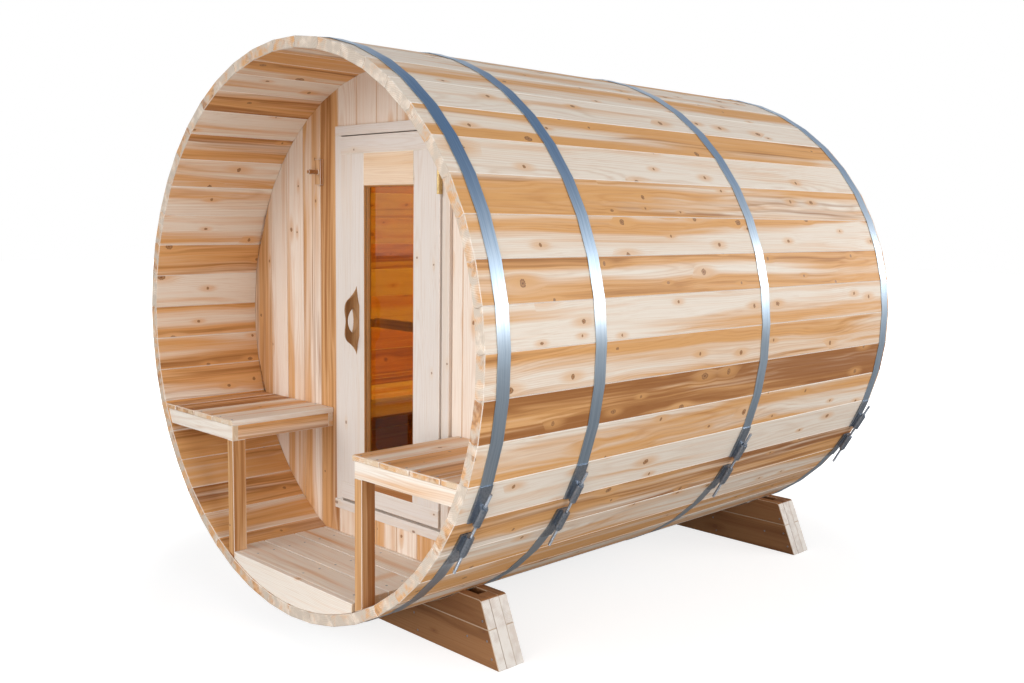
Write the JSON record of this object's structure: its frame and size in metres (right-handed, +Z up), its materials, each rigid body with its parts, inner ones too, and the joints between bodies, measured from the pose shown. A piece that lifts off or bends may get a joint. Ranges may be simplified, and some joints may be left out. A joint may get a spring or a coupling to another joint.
{
  "type": "barrel sauna",
  "caption": "Lying wooden barrel with flat staves, steel hoops, open benched porch, hinged glazed door and benched room, on two cradles.",
  "frame": {"origin": "on the ground under the middle of the barrel", "axes": "+Z up, the porch looks along -Y, the barrel's axis runs along Y, +X is on the right of someone facing the door"},
  "size_m": [1.9834, 2.37, 2.0601],
  "materials": {
    "cedar_stave": "planed, bare",
    "cedar_wall": "planed, bare",
    "cedar_pale": "planed, bare",
    "cedar_warm": "planed, bare",
    "cedar_bench": "planed, bare",
    "cradle_wood": "planed, bare",
    "dark_wood": "carved, oiled",
    "galvanised_steel": "galvanised strip",
    "brass": "satin",
    "glass": "tinted, clear"
  },
  "bodies": {
    "root": {"staves_a": "cedar_stave", "staves_b": "cedar_stave", "stave_closing": "cedar_stave", "hoop_front": "galvanised_steel", "hoop_porch": "galvanised_steel", "hoop_middle": "galvanised_steel", "hoop_back": "galvanised_steel", "hoop_lugs": "galvanised_steel", "tension_rods": "galvanised_steel", "front_wall_left": "cedar_wall", "front_wall_right": "cedar_wall", "front_wall_over_door": "cedar_wall", "front_wall_under_door": "cedar_wall", "back_wall": "cedar_wall", "door_jamb_left": "cedar_pale", "door_jamb_right": "cedar_pale", "door_head": "cedar_pale", "door_sill": "cedar_pale", "frame_hinge_leaves": "brass", "porch_floor": "cedar_bench", "floor_fascia": "cedar_bench", "room_floor": "cedar_bench", "porch_bench_left_seat": "cedar_bench", "porch_bench_left_frame": "cedar_bench", "porch_bench_left_leg": "cedar_bench", "porch_bench_right_seat": "cedar_bench", "porch_bench_right_frame": "cedar_bench", "porch_bench_right_leg": "cedar_bench", "room_bench_left_seat": "cedar_bench", "room_bench_left_frame": "cedar_bench", "room_bench_right_seat": "cedar_bench", "room_bench_right_frame": "cedar_bench", "towel_hook": "cedar_bench", "cradle_front_plates": "cradle_wood", "cradle_front_blocks": "cradle_wood", "cradle_back_plates": "cradle_wood", "cradle_back_blocks": "cradle_wood"},
    "door": {"door_stile_left": "cedar_pale", "door_stile_right": "cedar_pale", "door_top_rail": "cedar_pale", "door_bottom_rail": "cedar_pale", "door_infill_rails": "cedar_warm", "door_glass": "glass", "door_handle": "dark_wood", "door_inside_bar": "cedar_pale", "door_hinge_leaves": "brass"}
  },
  "joints": [
    {"name": "door_hinge", "type": "hinge", "parent": "root", "child": "door", "pos_m": [0.2935, -0.7595, 1.07], "axis": [0, 0, 1], "range_deg": [0, 98]}
  ]
}
